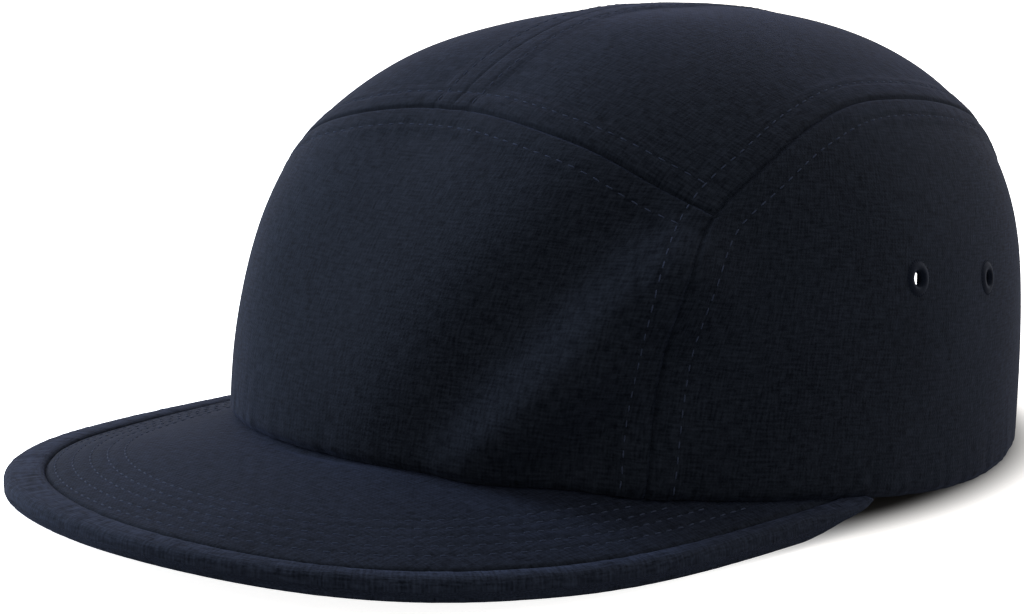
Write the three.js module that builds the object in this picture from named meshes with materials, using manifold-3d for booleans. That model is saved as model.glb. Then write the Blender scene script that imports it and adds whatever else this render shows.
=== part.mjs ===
// Five panel cap. A soft crown is sewn from one front panel, two top panels and two side panels. A curved
// brim with a bound edge tucks in under the front, each side panel has two thread eyelets, and a strap with
// a plain slide closes the opening at the back.
// Millimetres. X points to the wearer's left, -Y to the front and Z up. The cap stands on the plane Z = 0.

import * as THREE from 'three';
import { mergeVertices } from 'three/addons/utils/BufferGeometryUtils.js';
import Module from 'manifold-3d';

const wasm = await Module();
wasm.setup();

// Crown: the plan is measured from the line across its widest place
const crownWidth = 160;
const crownFrontReach = 97.5;
const crownBackReach = 104;
const crownHeight = 99.5;
const crownPeakBack = 6;
const clothThickness = 1.6;
const seamGap = 0.3;

// Brim: its root is the place where it is widest, ahead of the crown's widest place. There it stands out
// past the crown by its overhang, and its edge is clear of the ground by its standoff.
const brimReach = 53.5;
const brimOverhang = 2;
const brimRootAhead = 27;
const brimStandoff = 0.4;
const brimDroop = 3.1;
const brimCamber = 10.6;
const brimThickness = 3;
const brimTuck = 3;
const bindingWidth = 6.5;
const bindingThickness = 3.8;
const bindingProud = 0.2;
const bindingTail = 9;

// Behind the brim the rim comes down to the ground over this stretch of each side
const rimDescent = 70;

// Eyelets
const eyeletDiameter = 7.6;
const eyeletHoleDiameter = 2.4;
const eyeletProud = 0.5;
const eyeletChamfer = 0.7;

// Opening at the back, with its strap and slide
const openingWidth = 76;
const openingHeight = 46;
const strapWidth = 16;
const strapThickness = 1.6;
const strapAboveGround = 3.2;
const strapSewnLength = 16;
const strapFoldLength = 12;
const slideWidth = 20;
const slideBarWidth = 2.2;
const slideThickness = 2;
const slideClearance = 0.6;

// Colours, and how each surface takes the light
const cloth = { color: 0x20242f, roughness: 0.95, metalness: 0 };
const thread = { color: 0x2a2f3b, roughness: 0.85, metalness: 0 };
const lacquer = { color: 0x15171c, roughness: 0.45, metalness: 0.1 };

// How the crown is curved towards each side. planPower squares off the rim, shoulderPower keeps the wall
// upright before it turns in, fullnessPower rounds the turn, and bellyShare swells the wall by a share of
// its reach.
const crownSections = {
  front: { planPower: 2.08, shoulderPower: 1.6, fullnessPower: 2.24, bellyShare: -0.018 },
  side: { planPower: 2, shoulderPower: 4.52, fullnessPower: 1.8, bellyShare: 0 },
  back: { planPower: 1.94, shoulderPower: 3.65, fullnessPower: 2.42, bellyShare: 0.018 },
};

// Brim: tipPower and rootPower shape its outline from the tip round to the root, camberPower shapes its
// bend across, and straightShare is the share of the droop that falls in a straight line. At the end of its
// tail the binding keeps tailShare of the overhang and thinShare of its own thickness.
const brimShape = {
  tipPower: 3.49, rootPower: 1.98, camberPower: 2.3, straightShare: 0.63, tailShare: 0.4, thinShare: 0.35,
};

// Seams. turn is in degrees round from the front, rise is a share of the crown's height.
// All three meet at the corner between the front, top and side panels.
const corner = { turn: 58, rise: 0.595 };
const frontSeamRows = [
  { turn: 0, rise: 0.768 },
  { turn: 14, rise: 0.764 },
  { turn: 28, rise: 0.744 },
  { turn: 39, rise: 0.714 },
  { turn: 49, rise: 0.662 },
  corner,
];
const cornerSeamRows = [
  { turn: 49, rise: 0 },
  { turn: 51, rise: 0.26 },
  { turn: 53.5, rise: 0.45 },
  corner,
];
const sideSeamRows = [
  corner,
  { turn: 66, rise: 0.69 },
  { turn: 75, rise: 0.763 },
  { turn: 88, rise: 0.811 },
  { turn: 103, rise: 0.813 },
  { turn: 120, rise: 0.782 },
  { turn: 136, rise: 0.71 },
  { turn: 150, rise: 0.575 },
];
// Where the side seam ends, in degrees round the arch of the opening from its foot
const archSplitDegrees = 50;

// Drape of the soft cloth, in turn and rise as above. reachShare is a share of the crown's width and
// heightShare a share of the crown's height: above zero it is a ridge, below zero a hollow.
const folds = [
  { fromTurn: 50, fromRise: 0.54, toTurn: 25, toRise: 0.05, reachShare: 0.05, heightShare: 0.018 },
  { fromTurn: 48, fromRise: 0.32, toTurn: 36, toRise: 0.08, reachShare: 0.05, heightShare: -0.026 },
];

// Centres of the eyelets in each side panel
const eyelets = [
  { name: 'front', turn: 88.2, rise: 0.46 },
  { name: 'back', turn: 106, rise: 0.435 },
];

// Section of the binding. across runs from the outer edge in, and up from the underside.
const bindingSection = [
  { across: 0, up: 0.3 },
  { across: 0, up: 0.7 },
  { across: 0.16, up: 1 },
  { across: 0.84, up: 1 },
  { across: 1, up: 0.8 },
  { across: 1, up: 0.2 },
  { across: 0.84, up: 0 },
  { across: 0.16, up: 0 },
];

// How many faces each surface is divided into
const seamColumns = 10;
const wallRows = 10;
const sideColumns = 24;
const brimStations = 60;
const brimRows = 6;
const eyeletSides = 18;
const outlineSteps = 40;

const radians = THREE.MathUtils.degToRad;
const lerp = THREE.MathUtils.lerp;
const signedPower = (value, power) => Math.sign(value) * Math.abs(value) ** power;
const shares = (count) => Array.from({ length: count + 1 }, (_, i) => i / count);

// The place between low and high where a condition that starts false turns true.
function turningPoint(condition, low, high) {
  for (let step = 0; step < 40; step += 1) {
    const middle = (low + high) / 2;
    if (condition(middle)) high = middle;
    else low = middle;
  }
  return high;
}

// Crown surface

// Outer line of the rim in plan, at an angle round from the front.
function rimPoint(angle) {
  const forward = Math.cos(angle);
  const reach = forward > 0 ? crownFrontReach : crownBackReach;
  const power = 2 / (forward > 0 ? crownSections.front.planPower : crownSections.back.planPower);
  const x = (crownWidth / 2) * signedPower(Math.sin(angle), power);
  return new THREE.Vector2(x, -reach * signedPower(forward, power));
}

// The rim's line moved in by an inset, square to the wall.
function insetRimPoint(angle, inset) {
  const step = 0.001;
  const along = rimPoint(angle + step).sub(rimPoint(angle - step)).normalize();
  return rimPoint(angle).add(new THREE.Vector2(-along.y, along.x).multiplyScalar(inset));
}

function outsideCrown(point, clearance) {
  const reach = point.y < 0 ? crownFrontReach : crownBackReach;
  const power = point.y < 0 ? crownSections.front.planPower : crownSections.back.planPower;
  const x = Math.abs(point.x) / (crownWidth / 2 + clearance);
  const y = Math.abs(point.y) / (reach + clearance);
  return x ** power + y ** power > 1;
}

const brimHalfWidth = crownWidth / 2 + brimOverhang;

function droopAt(y) {
  const forward = (-y - crownFrontReach) / brimReach;
  const straight = brimShape.straightShare;
  return brimDroop * (straight * forward + (1 - straight) * forward * forward);
}

// Height of the brim's top at the middle of the crown's front, which lets its sides stand on the ground
const brimLift = brimStandoff + bindingThickness - bindingProud + brimCamber + droopAt(-brimRootAhead);

function brimTop(x, y) {
  return brimLift - droopAt(y) - brimCamber * (Math.abs(x) / brimHalfWidth) ** brimShape.camberPower;
}

// Outer edge of the brim in plan, from the right root round the tip to the left root. At each end a short
// tail runs in to the crown.
function brimOutline() {
  const points = [];
  const depth = crownFrontReach + brimReach - brimRootAhead;
  for (const share of shares(outlineSteps)) {
    const angle = (Math.PI / 2) * (1 - (1 - share) ** 3);
    const x = brimHalfWidth * Math.sin(angle) ** (2 / brimShape.rootPower);
    const y = -brimRootAhead - depth * Math.max(Math.cos(angle), 0) ** (2 / brimShape.tipPower);
    points.push(new THREE.Vector2(x, y));
  }
  const end = bindingTail - brimRootAhead;
  const power = crownSections.front.planPower;
  const crownX = (crownWidth / 2) * (1 - Math.abs(end / crownFrontReach) ** power) ** (1 / power);
  const tailX = crownX + seamGap + brimShape.tailShare * brimOverhang;
  for (const share of shares(3).slice(1)) {
    const x = lerp(brimHalfWidth, tailX, share * share);
    points.push(new THREE.Vector2(x, end - bindingTail * (1 - share)));
  }
  const right = points.slice(1).reverse().map((point) => new THREE.Vector2(-point.x, point.y));
  return new THREE.SplineCurve([...right, ...points]);
}

// Stations round the edge. Each gives the point that lies in from the edge by a distance, how wide the
// binding can be there before it meets the crown, and the share of its thickness that it keeps.
function brimEdgeStations() {
  const outline = brimOutline();
  return shares(brimStations).map((share) => {
    const edge = outline.getPointAt(share);
    const along = outline.getTangentAt(share);
    const out = new THREE.Vector2(along.y, -along.x);
    const inBy = (distance) => edge.clone().addScaledVector(out, -distance);
    const blocked = (distance) => !outsideCrown(inBy(distance), seamGap);
    const width = blocked(bindingWidth) ? turningPoint(blocked, 0, bindingWidth) : bindingWidth;
    const pastRoot = THREE.MathUtils.clamp((edge.y + brimRootAhead) / bindingTail, 0, 1);
    return { inBy, width, thickness: lerp(1, brimShape.thinShare, pastRoot) };
  });
}

const stations = brimEdgeStations();
const boardStations = stations.filter((station) => station.width === bindingWidth);
const boardEnd = boardStations[boardStations.length - 1].inBy(bindingWidth);

// Height of the crown's rim: it lies on the brim as far as the brim's board goes, then comes down.
function rimHeight(x, y) {
  const landed = THREE.MathUtils.smoothstep(y, boardEnd.y, boardEnd.y + rimDescent);
  return (brimTop(x, y) + seamGap) * (1 - landed);
}

// A place on the crown is named by a unit vector. Its height is the share of the crown's height.
function toward(turn, rise) {
  const level = Math.sqrt(1 - rise * rise);
  return new THREE.Vector3(Math.sin(radians(turn)) * level, -Math.cos(radians(turn)) * level, rise);
}

function plainCrown(place) {
  const angle = Math.atan2(place.x, -place.y);
  const front = Math.max(Math.cos(angle), 0) ** 2;
  const back = Math.max(-Math.cos(angle), 0) ** 2;
  const blend = (column) => front * crownSections.front[column]
    + back * crownSections.back[column]
    + (1 - front - back) * crownSections.side[column];
  const rise = Math.max(place.z, 0);
  const spread = Math.max(1 - rise ** blend('shoulderPower'), 0) ** (1 / blend('fullnessPower'));
  const swell = spread * (1 + blend('bellyShare') * Math.sin(Math.PI * rise));
  const rim = rimPoint(angle);
  const foot = rimHeight(rim.x, rim.y);
  return new THREE.Vector3(
    rim.x * swell,
    rim.y * swell + crownPeakBack * (1 - spread),
    foot + (crownHeight - foot) * place.z,
  );
}

function crownNormal(place) {
  const step = 0.01;
  const east = new THREE.Vector3(-place.y, place.x, 0);
  if (east.length() < step) east.set(1, 0, 0);
  east.normalize();
  const north = place.clone().cross(east);
  const difference = (axis) => {
    const ahead = place.clone().addScaledVector(axis, step).normalize();
    const behind = place.clone().addScaledVector(axis, -step).normalize();
    return plainCrown(ahead).sub(plainCrown(behind));
  };
  return difference(east).cross(difference(north)).normalize();
}

function foldHeight(place) {
  let height = 0;
  for (const fold of folds) {
    const crease = new THREE.Line3(toward(fold.fromTurn, fold.fromRise), toward(fold.toTurn, fold.toRise));
    const nearest = crease.closestPointToPoint(place, true, new THREE.Vector3());
    const distance = (nearest.distanceTo(place) * crownWidth) / 2;
    const reach = fold.reachShare * crownWidth;
    height += fold.heightShare * crownHeight * Math.exp(-((distance / reach) ** 2));
  }
  return height;
}

function crownPoint(place, depth) {
  return plainCrown(place).addScaledVector(crownNormal(place), foldHeight(place) - depth);
}

// Bodies

function signedVolume(geometry) {
  const point = geometry.getAttribute('position');
  const corners = [new THREE.Vector3(), new THREE.Vector3(), new THREE.Vector3()];
  let volume = 0;
  for (let i = 0; i < geometry.index.count; i += 3) {
    corners.forEach((vertex, k) => vertex.fromBufferAttribute(point, geometry.index.getX(i + k)));
    volume += corners[0].dot(corners[1].clone().cross(corners[2])) / 6;
  }
  return volume;
}

// A body from its points and triangles, turned so that its faces point out.
function body(points, triangles) {
  const geometry = new THREE.BufferGeometry().setFromPoints(points);
  geometry.setIndex(triangles);
  if (signedVolume(geometry) < 0) {
    geometry.setIndex(triangles.slice().reverse());
  }
  geometry.computeVertexNormals();
  return geometry;
}

// A closed wall between two grids of points that have the same rows and columns.
function wallBody(outer, inner) {
  const rows = outer.length;
  const columns = outer[0].length;
  const triangles = [];
  const face = (a, b, c, d) => triangles.push(a, b, c, a, c, d);
  const out = (j, i) => j * columns + i;
  const back = (j, i) => (rows + j) * columns + i;
  for (let j = 0; j + 1 < rows; j += 1) {
    for (let i = 0; i + 1 < columns; i += 1) {
      face(out(j, i), out(j, i + 1), out(j + 1, i + 1), out(j + 1, i));
      face(back(j, i), back(j + 1, i), back(j + 1, i + 1), back(j, i + 1));
    }
    face(out(j, 0), out(j + 1, 0), back(j + 1, 0), back(j, 0));
    face(out(j + 1, columns - 1), out(j, columns - 1), back(j, columns - 1), back(j + 1, columns - 1));
  }
  for (let i = 0; i + 1 < columns; i += 1) {
    face(out(0, i + 1), out(0, i), back(0, i), back(0, i + 1));
    face(out(rows - 1, i), out(rows - 1, i + 1), back(rows - 1, i + 1), back(rows - 1, i));
  }
  return body([...outer.flat(), ...inner.flat()], triangles);
}

// A closed body through a row of equal rings of points, with a flat cap at each end.
function loftBody(rings) {
  const size = rings[0].length;
  const triangles = [];
  for (let k = 0; k + 1 < rings.length; k += 1) {
    for (let i = 0; i < size; i += 1) {
      const next = (i + 1) % size;
      const [a, b, c, d] = [k * size + i, k * size + next, (k + 1) * size + next, (k + 1) * size + i];
      triangles.push(a, b, c, a, c, d);
    }
  }
  const last = (rings.length - 1) * size;
  for (let i = 1; i + 1 < size; i += 1) {
    triangles.push(0, i + 1, i, last, last + i, last + i + 1);
  }
  return body(rings.flat(), triangles);
}

function solidOf(geometry) {
  const bare = geometry.clone();
  bare.deleteAttribute('normal');
  bare.deleteAttribute('uv');
  const merged = mergeVertices(bare, 1e-4);
  const vertProperties = new Float32Array(merged.getAttribute('position').array);
  const triVerts = new Uint32Array(merged.index.array);
  return new wasm.Manifold(new wasm.Mesh({ numProp: 3, vertProperties, triVerts }));
}

function geometryOf(solid) {
  const mesh = solid.getMesh();
  const geometry = new THREE.BufferGeometry();
  geometry.setAttribute('position', new THREE.BufferAttribute(new Float32Array(mesh.vertProperties), 3));
  geometry.setIndex(new THREE.BufferAttribute(new Uint32Array(mesh.triVerts), 1));
  geometry.computeVertexNormals();
  return geometry;
}

function piece(name, geometry, look) {
  const mesh = new THREE.Mesh(geometry, new THREE.MeshStandardMaterial(look));
  mesh.name = name;
  return mesh;
}

// Panels

const curveThrough = (places) => new THREE.CatmullRomCurve3(places, false, 'centripetal');
const seamCurve = (rows) => curveThrough(rows.map((row) => toward(row.turn, row.rise)));

// Half the opening's foot as an angle round from the back
const openingAngle = Math.asin((openingWidth / crownWidth) ** (crownSections.back.planPower / 2));
const openingTurn = THREE.MathUtils.radToDeg(openingAngle);

// A place on the edge of the opening, in degrees round its arch from the foot.
function archPlace(degrees) {
  const rise = (openingHeight / crownHeight) * Math.sin(radians(degrees));
  return toward(180 - openingTurn * Math.cos(radians(degrees)), rise);
}

const frontSeam = seamCurve(frontSeamRows);
const cornerSeam = seamCurve(cornerSeamRows);
const sideSeam = curveThrough([
  ...sideSeamRows.map((row) => toward(row.turn, row.rise)),
  archPlace(archSplitDegrees),
]);

// The line over the top from the front seam to the top of the opening.
function centrePlace(share) {
  const start = Math.asin(frontSeamRows[0].rise);
  const end = Math.PI - Math.asin(openingHeight / crownHeight);
  const angle = lerp(start, end, share);
  return new THREE.Vector3(0, -Math.cos(angle), Math.sin(angle));
}

const mirrored = (place) => new THREE.Vector3(-place.x, place.y, place.z);

// Spreads places over a panel from its four edges, each a function from 0 to 1.
function panelPlaces({ bottom, top, start, end, columns, rows }) {
  return shares(rows).map((v) => shares(columns).map((u) => {
    const place = new THREE.Vector3();
    place.addScaledVector(bottom(u), 1 - v).addScaledVector(top(u), v);
    place.addScaledVector(start(v), 1 - u).addScaledVector(end(v), u);
    place.addScaledVector(bottom(0), -(1 - u) * (1 - v)).addScaledVector(bottom(1), -u * (1 - v));
    place.addScaledVector(top(0), -(1 - u) * v).addScaledVector(top(1), -u * v);
    return place.normalize();
  }));
}

// Draws the sewn edges of a panel back from its seams, by half of the gap.
function drawBack(grid, sewn) {
  const lastRow = grid.length - 1;
  const lastColumn = grid[0].length - 1;
  const draw = (edge, next) => edge.add(next.clone().sub(edge).setLength(seamGap / 2));
  if (sewn.bottom) grid[0].forEach((point, i) => draw(point, grid[1][i]));
  if (sewn.top) grid[lastRow].forEach((point, i) => draw(point, grid[lastRow - 1][i]));
  if (sewn.start) grid.forEach((row) => draw(row[0], row[1]));
  if (sewn.end) grid.forEach((row) => draw(row[lastColumn], row[lastColumn - 1]));
}

function panelBody(edges, sewn) {
  const places = panelPlaces(edges);
  const outer = places.map((row) => row.map((place) => crownPoint(place, 0)));
  const inner = places.map((row) => row.map((place) => crownPoint(place, clothThickness)));
  if (!sewn.bottom) {
    inner[0].forEach((point) => point.setZ(rimHeight(point.x, point.y)));
  }
  drawBack(outer, sewn);
  drawBack(inner, sewn);
  return wallBody(outer, inner);
}

function frontPanel() {
  const halved = (curve) => (u) => {
    const place = curve.getPointAt(Math.abs(2 * u - 1));
    return u < 0.5 ? mirrored(place) : place;
  };
  const foot = cornerSeamRows[0].turn;
  return panelBody({
    bottom: (u) => toward(lerp(-foot, foot, u), 0),
    top: halved(frontSeam),
    start: (v) => mirrored(cornerSeam.getPointAt(v)),
    end: (v) => cornerSeam.getPointAt(v),
    columns: 2 * seamColumns,
    rows: wallRows,
  }, { top: true, start: true, end: true });
}

function topPanel(side) {
  const sided = (place) => (side > 0 ? place : mirrored(place));
  return panelBody({
    bottom: (u) => sided(frontSeam.getPointAt(u)),
    top: (u) => sided(archPlace(lerp(90, archSplitDegrees, u))),
    start: (v) => centrePlace(v),
    end: (v) => sided(sideSeam.getPointAt(v)),
    columns: seamColumns,
    rows: sideColumns,
  }, { bottom: true, start: true, end: true });
}

function eyeletFrame(eyelet, side) {
  const place = toward(eyelet.turn, eyelet.rise);
  if (side < 0) place.x *= -1;
  return { centre: crownPoint(place, 0), normal: crownNormal(place) };
}

function sidePanel(side) {
  const sided = (place) => (side > 0 ? place : mirrored(place));
  const whole = panelBody({
    bottom: (u) => sided(toward(lerp(cornerSeamRows[0].turn, 180 - openingTurn, u), 0)),
    top: (u) => sided(sideSeam.getPointAt(u)),
    start: (v) => sided(cornerSeam.getPointAt(v)),
    end: (v) => sided(archPlace(archSplitDegrees * v)),
    columns: sideColumns,
    rows: wallRows,
  }, { top: true, start: true });
  let solid = solidOf(whole);
  for (const eyelet of eyelets) {
    const radius = eyeletDiameter / 2 + seamGap;
    const { centre, normal } = eyeletFrame(eyelet, side);
    const drill = new THREE.CylinderGeometry(radius, radius, 6 * clothThickness, eyeletSides);
    drill.applyQuaternion(new THREE.Quaternion().setFromUnitVectors(THREE.Object3D.DEFAULT_UP, normal));
    drill.translate(centre.x, centre.y, centre.z);
    solid = solid.subtract(solidOf(drill));
  }
  return geometryOf(solid);
}

// A thread-covered ring that fills its hole in the panel and stands a little proud on both faces.
function eyeletBody() {
  const hole = eyeletHoleDiameter / 2;
  const outer = eyeletDiameter / 2;
  const under = -clothThickness - eyeletProud;
  const profile = [
    new THREE.Vector2(hole, under),
    new THREE.Vector2(outer - eyeletChamfer, under),
    new THREE.Vector2(outer, -clothThickness),
    new THREE.Vector2(outer, 0),
    new THREE.Vector2(outer - eyeletChamfer, eyeletProud),
    new THREE.Vector2(hole, eyeletProud),
    new THREE.Vector2(hole, under),
  ];
  return geometryOf(solidOf(new THREE.LatheGeometry(profile, eyeletSides)));
}

function eyeletPieces(sideName, side) {
  return eyelets.map((eyelet) => {
    const mesh = piece(`eyelet_${sideName}_${eyelet.name}`, eyeletBody(), thread);
    const { centre, normal } = eyeletFrame(eyelet, side);
    mesh.position.copy(centre);
    mesh.quaternion.setFromUnitVectors(THREE.Object3D.DEFAULT_UP, normal);
    return mesh;
  });
}

// Brim

const onBrim = (point, drop) => new THREE.Vector3(point.x, point.y, brimTop(point.x, point.y) - drop);

function brimBody() {
  const outerEdge = boardStations.map((station) => station.inBy(bindingWidth + seamGap));
  const endAngle = Math.atan2(boardEnd.x / crownWidth, -boardEnd.y / (2 * crownFrontReach));
  const innerEdge = outerEdge.map((_, i) => {
    const angle = lerp(-endAngle, endAngle, i / (outerEdge.length - 1));
    return insetRimPoint(angle, clothThickness + brimTuck);
  });
  const plan = shares(brimRows).map((v) => outerEdge.map((point, i) => innerEdge[i].clone().lerp(point, v)));
  const top = plan.map((row) => row.map((point) => onBrim(point, 0)));
  const under = plan.map((row) => row.map((point) => onBrim(point, brimThickness)));
  return wallBody(top, under);
}

function bindingBody() {
  return loftBody(stations.map((station) => bindingSection.map(({ across, up }) => {
    const drop = bindingThickness * station.thickness * (1 - up) - bindingProud;
    return onBrim(station.inBy(across * station.width), drop);
  })));
}

// Strap and slide

const strapDepth = clothThickness + seamGap + strapThickness / 2;
const slideBarX = (slideWidth - slideBarWidth) / 2;
const strapLoopRadius = Math.hypot(slideBarWidth, slideThickness) / 2 + seamGap + strapThickness / 2;
// Angle round from the back at which the strap turns about the slide's outer bar
const slideAngle = turningPoint(
  (angle) => insetRimPoint(Math.PI - angle, strapDepth + strapLoopRadius).x > slideBarX,
  0,
  openingAngle,
);
const slideBar = insetRimPoint(Math.PI - slideAngle, strapDepth + strapLoopRadius);

// Middle line of the strap in plan, from where it is sewn in, round the slide's bar and back.
function strapPath() {
  const path = [];
  const sewnAngle = openingAngle + strapSewnLength / crownBackReach;
  for (const share of shares(10)) {
    path.push(insetRimPoint(Math.PI - lerp(sewnAngle, slideAngle, share), strapDepth));
  }
  const arm = path[path.length - 1].clone().sub(slideBar);
  for (const share of shares(8).slice(1, -1)) {
    path.push(arm.clone().rotateAround(new THREE.Vector2(), Math.PI * share).add(slideBar));
  }
  const foldAngle = strapFoldLength / crownBackReach;
  for (const share of shares(3)) {
    path.push(insetRimPoint(Math.PI - slideAngle - foldAngle * share, strapDepth + 2 * strapLoopRadius));
  }
  return path;
}

function strapBody(side) {
  const path = strapPath();
  const edge = (offset) => path.map((point, i) => {
    const along = path[Math.min(i + 1, path.length - 1)].clone().sub(path[Math.max(i - 1, 0)]).normalize();
    return point.clone().add(new THREE.Vector2(-along.y, along.x).multiplyScalar(offset));
  });
  const outline = [...edge(strapThickness / 2), ...edge(-strapThickness / 2).reverse()];
  outline.forEach((point) => point.setX(side * point.x));
  const options = { depth: strapWidth, bevelEnabled: false };
  const geometry = new THREE.ExtrudeGeometry(new THREE.Shape(outline), options);
  geometry.translate(0, 0, strapAboveGround);
  return geometryOf(solidOf(geometry));
}

// A flat frame with a bar down its middle, so that each strap has a slot to turn through.
function slideBody() {
  const slotHeight = strapWidth + 2 * slideClearance;
  const slotWidth = (slideWidth - 3 * slideBarWidth) / 2;
  let frame = solidOf(new THREE.BoxGeometry(slideWidth, slideThickness, slotHeight + 2 * slideBarWidth));
  for (const side of [-1, 1]) {
    const slot = new THREE.BoxGeometry(slotWidth, 2 * slideThickness, slotHeight);
    slot.translate((side * (slotWidth + slideBarWidth)) / 2, 0, 0);
    frame = frame.subtract(solidOf(slot));
  }
  const geometry = geometryOf(frame);
  geometry.translate(0, slideBar.y, strapAboveGround + strapWidth / 2);
  return geometry;
}

// Assembly

const cap = new THREE.Group();
cap.name = 'five_panel_cap';
cap.add(
  piece('front_panel', frontPanel(), cloth),
  piece('brim', brimBody(), cloth),
  piece('brim_binding', bindingBody(), cloth),
  piece('slide', slideBody(), lacquer),
);
for (const [sideName, side] of [['left', 1], ['right', -1]]) {
  cap.add(
    piece(`top_panel_${sideName}`, topPanel(side), cloth),
    piece(`side_panel_${sideName}`, sidePanel(side), cloth),
    piece(`strap_${sideName}`, strapBody(side), cloth),
    ...eyeletPieces(sideName, side),
  );
}

// The origin is under the middle of the cap's box, on the plane that it stands on
const box = new THREE.Box3().setFromObject(cap, true);
cap.position.y = -(box.min.y + box.max.y) / 2;

export default cap;
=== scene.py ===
# %% [markdown]
# # A five panel cap
# The cap is sewn from five panels of thin cotton: one in front, two over the top and one at each
# side. A curved brim with a bound edge is caught in the front seam, each side has two worked
# eyelets, and a strap with a slide closes the opening at the back. The part comes from CAD, and its
# solids stay as they are for collision. Each soft solid gets a finer piece here that lies in the
# same space, so the first step is to load the frame and keep its box.

# %% Load the frame
import math

import bpy
import numpy as np
from mathutils import Matrix, Vector


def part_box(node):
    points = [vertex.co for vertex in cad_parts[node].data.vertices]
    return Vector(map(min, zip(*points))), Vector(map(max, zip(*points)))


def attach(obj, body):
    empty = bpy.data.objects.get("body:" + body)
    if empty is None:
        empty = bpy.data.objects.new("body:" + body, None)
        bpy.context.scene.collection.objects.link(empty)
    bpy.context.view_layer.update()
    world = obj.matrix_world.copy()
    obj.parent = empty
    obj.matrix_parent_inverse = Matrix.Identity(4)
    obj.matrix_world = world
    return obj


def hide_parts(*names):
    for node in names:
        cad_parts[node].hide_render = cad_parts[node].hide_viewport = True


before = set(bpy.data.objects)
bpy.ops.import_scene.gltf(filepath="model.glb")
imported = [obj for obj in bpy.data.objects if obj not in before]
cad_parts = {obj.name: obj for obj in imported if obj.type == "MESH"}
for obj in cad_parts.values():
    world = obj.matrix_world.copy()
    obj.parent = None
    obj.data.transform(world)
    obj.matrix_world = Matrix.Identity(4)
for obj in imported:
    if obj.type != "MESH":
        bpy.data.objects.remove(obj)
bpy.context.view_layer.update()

# %% [markdown]
# ## Sizes
# Everything is worked out in millimetres and turned to metres when a mesh is made. These are the
# cap's own sizes. The cap's shape is drawn round the line where it is widest, and the part's origin
# is under the middle of its box, so one shift along Y joins the two.

# %% Name the cap's sizes
mm = 0.001
crown_width, crown_front, crown_back, crown_height = 160.0, 97.5, 104.0, 99.5
peak_back = 6.0
cloth_thickness = 1.6
brim_reach, brim_overhang, brim_root = 53.5, 2.0, 27.0
brim_standoff, brim_droop, brim_camber, brim_thickness, brim_tuck = 0.4, 3.1, 10.6, 3.0, 3.0
binding_width, binding_thickness, binding_proud, binding_tail = 6.5, 3.8, 0.2, 9.0
binding_seen, binding_tip, brim_settle = 4.6, 8.2, 1.2
rim_descent = 70.0
seam_gap = 0.3
shift = np.array([0.0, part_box("brim_binding")[0].y / mm + crown_front + brim_reach, 0.0])
print("shift along Y, mm:", round(shift[1], 2))

# %% [markdown]
# ## The crown's shape
# A cap's crown is upright at the rim, turns in at the shoulder and closes softly at the top. Its
# outline at the rim is an oval, squarer in front. One formula gives that surface, so that every
# panel, stitch and eyelet can be put on it by a direction alone. A direction is a unit vector: its
# turn goes round from the front and its rise is its share of the height.

# %% Describe the crown with one formula
sections = {
    "front": {"plan": 2.08, "shoulder": 1.6, "fullness": 2.24, "belly": -0.018},
    "side": {"plan": 2.0, "shoulder": 4.52, "fullness": 1.8, "belly": 0.0},
    "back": {"plan": 1.94, "shoulder": 3.65, "fullness": 2.42, "belly": 0.018},
}


def smooth(low, high, x):
    t = np.clip((x - low) / (high - low), 0, 1)
    return t * t * (3 - 2 * t)


def signed_power(value, power):
    return np.sign(value) * np.abs(value) ** power


def rim_point(angle):
    forward = np.cos(angle)
    reach = np.where(forward > 0, crown_front, crown_back)
    power = 2 / np.where(forward > 0, sections["front"]["plan"], sections["back"]["plan"])
    x = crown_width / 2 * signed_power(np.sin(angle), power)
    return np.stack([x, -reach * signed_power(forward, power)], -1)


def unit(v):
    return v / np.maximum(np.linalg.norm(v, axis=-1, keepdims=True), 1e-9)


def toward(turn, rise):
    turn, rise = np.radians(turn), np.asarray(rise, float)
    level = np.sqrt(1 - rise * rise)
    return np.stack([np.sin(turn) * level, -np.cos(turn) * level, rise + 0 * turn], -1)


print("a direction half way up in front:", toward(0, 0.5).round(3))

# %% [markdown]
# The brim fixes where the rim is. Its top falls away from the middle of the front to both sides and
# to its tip, and the crown's rim lies on it as far back as the brim goes. Behind the brim the rim
# comes down to the table.

# %% Describe the brim's top and the height of the rim
brim_half_width = crown_width / 2 + brim_overhang
brim_tip_power, brim_root_power, brim_camber_power, straight_share = 3.49, 1.98, 2.3, 0.63


def droop_at(y):
    forward = (-y - crown_front) / brim_reach
    return brim_droop * (straight_share * forward + (1 - straight_share) * forward * forward)


brim_lift = brim_standoff + binding_thickness - binding_proud + brim_camber + droop_at(-brim_root)


def brim_top(x, y):
    settled = brim_settle * smooth(0.1, 0.9, (-y - crown_front) / brim_reach)
    fallen = brim_camber * (np.abs(x) / brim_half_width) ** brim_camber_power
    return brim_lift - droop_at(y) - settled - fallen


print("brim's top at its tip, mm:", round(float(brim_top(0, -crown_front - brim_reach)), 1))


# %% Draw the brim's edge
def brim_outline():
    """Points from the right root round the tip to the left root."""
    angle = np.pi / 2 * (1 - (1 - np.linspace(0, 1, 400)) ** 3)
    depth = crown_front + brim_reach - brim_root
    x = brim_half_width * np.sin(angle) ** (2 / brim_root_power)
    y = -brim_root - depth * np.maximum(np.cos(angle), 0) ** (2 / brim_tip_power)
    end = binding_tail - brim_root
    power = sections["front"]["plan"]
    crown_x = crown_width / 2 * (1 - abs(end / crown_front) ** power) ** (1 / power)
    tail_x = crown_x + seam_gap + 0.4 * brim_overhang
    share = np.linspace(0, 1, 20)[1:]
    x = np.concatenate([x, brim_half_width + (tail_x - brim_half_width) * share**2])
    y = np.concatenate([y, end - binding_tail * (1 - share)])
    return np.stack([np.concatenate([-x[:0:-1], x]), np.concatenate([y[:0:-1], y])], -1)


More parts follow.
